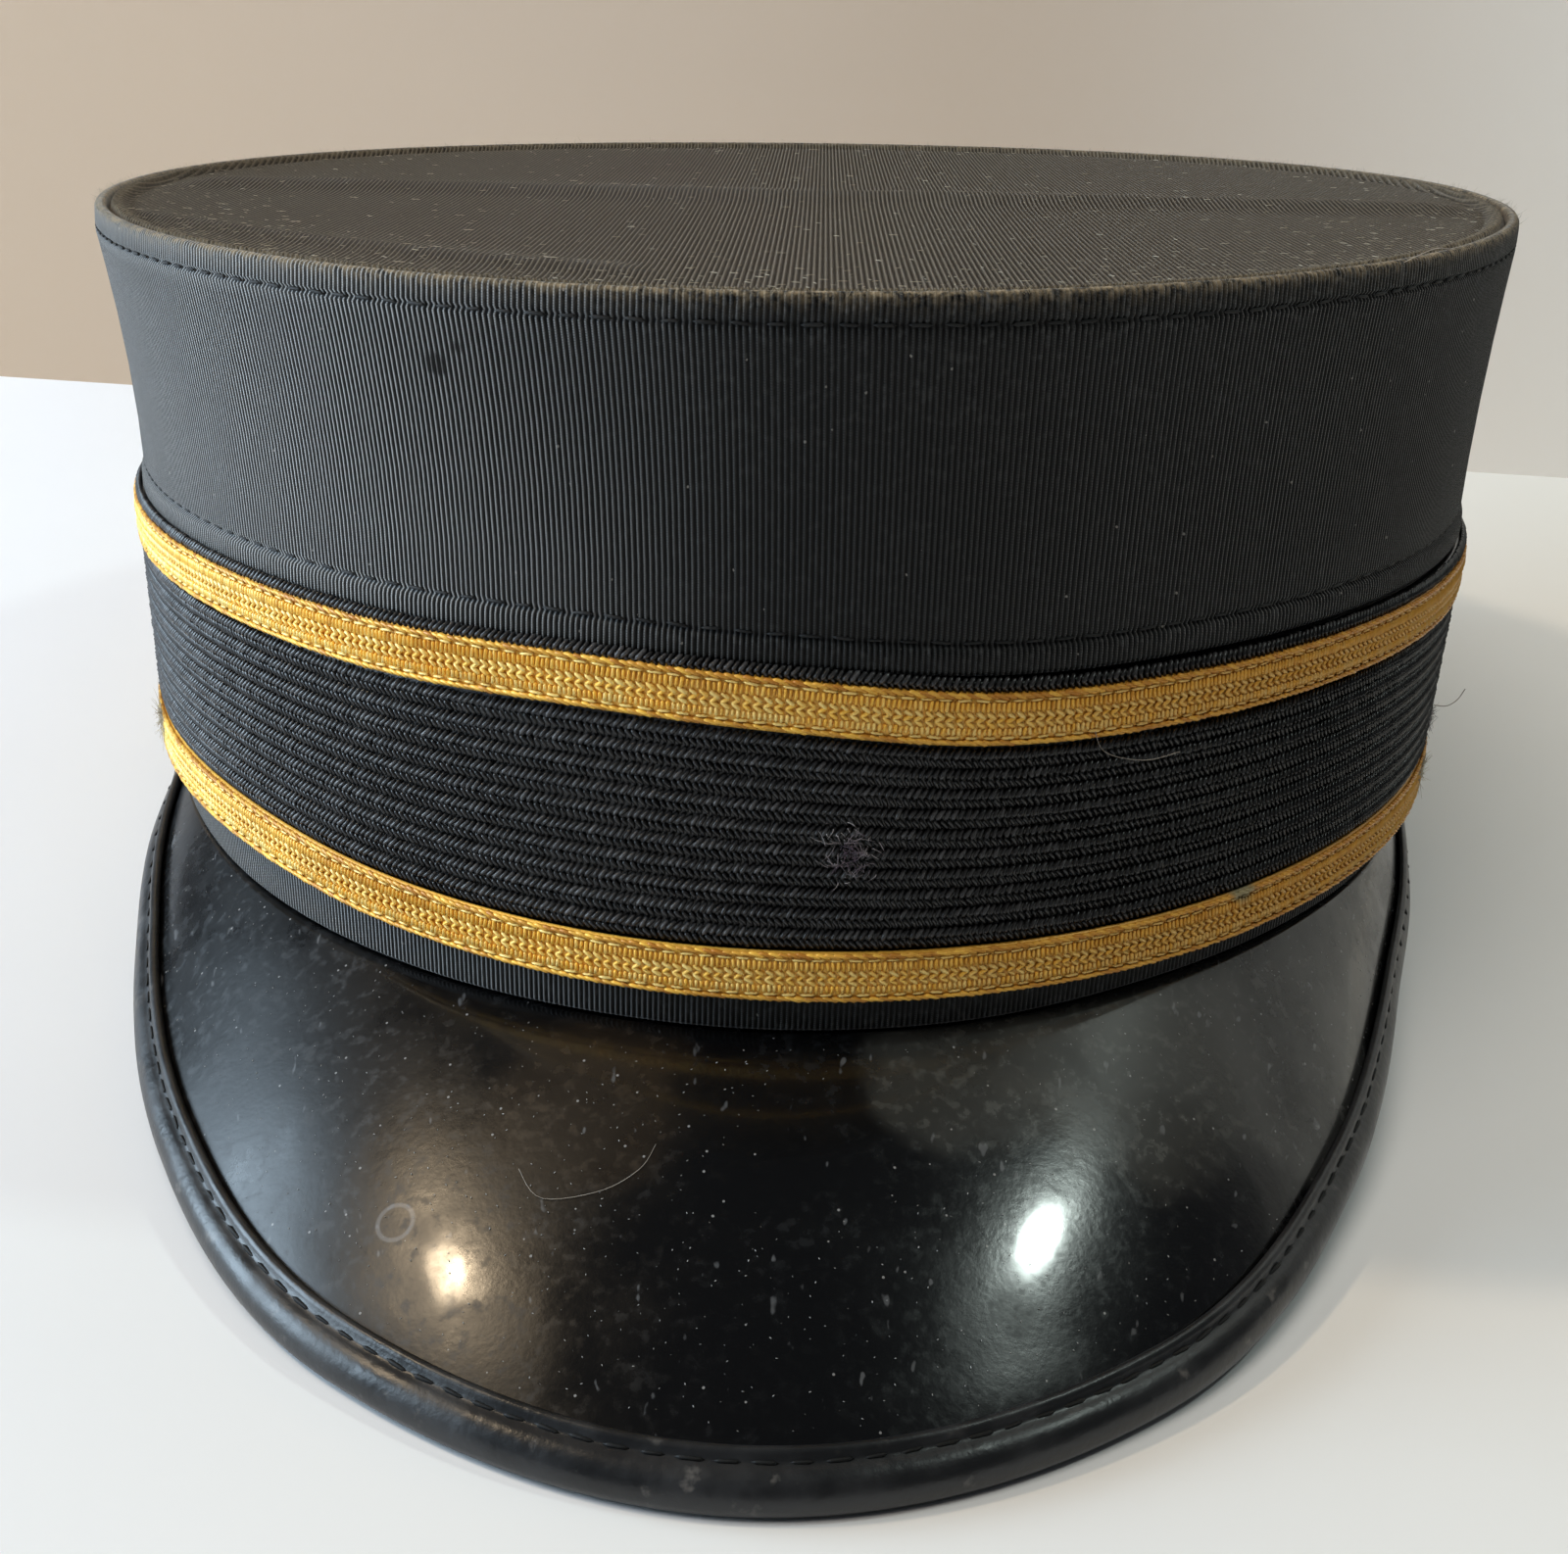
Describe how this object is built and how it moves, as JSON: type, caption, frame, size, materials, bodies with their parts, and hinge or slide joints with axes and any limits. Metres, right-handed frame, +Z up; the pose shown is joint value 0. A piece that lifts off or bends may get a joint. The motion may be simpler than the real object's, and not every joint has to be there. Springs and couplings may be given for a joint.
{
  "type": "conductor cap",
  "caption": "Round flat-topped uniform cap with a flared ribbed cloth crown, a mohair band between gold braids, and a bowed patent leather peak.",
  "frame": {"origin": "middle of the footprint's box, on the table that the cap rests on", "axes": "+Z up as the cap rests; the wearer looks along -Y, so the peak points to -Y; +X is the side on the right of someone facing the peak"},
  "size_m": [0.1796, 0.265, 0.1024],
  "materials": {
    "ribbed_cloth": "black ribbed worsted cloth, slightly dusty, with a worn tan edge",
    "top_cloth": "faded brown-black ribbed cloth with lint",
    "mohair": "black mohair braid with slightly lustrous knots",
    "gold_braid": "old gold woven braid, browned in places",
    "patent_leather": "glossy black patent leather, lightly scratched and dusty",
    "binding_leather": "semi-matt black leather, stitched"
  },
  "bodies": {
    "root": {"crown_wall": "ribbed_cloth", "crown_tip": "top_cloth", "base_wall": "ribbed_cloth", "mohair_band": "mohair", "gold_braid_upper": "gold_braid", "gold_braid_lower": "gold_braid", "peak": "patent_leather", "peak_binding": "binding_leather"}
  },
  "joints": []
}
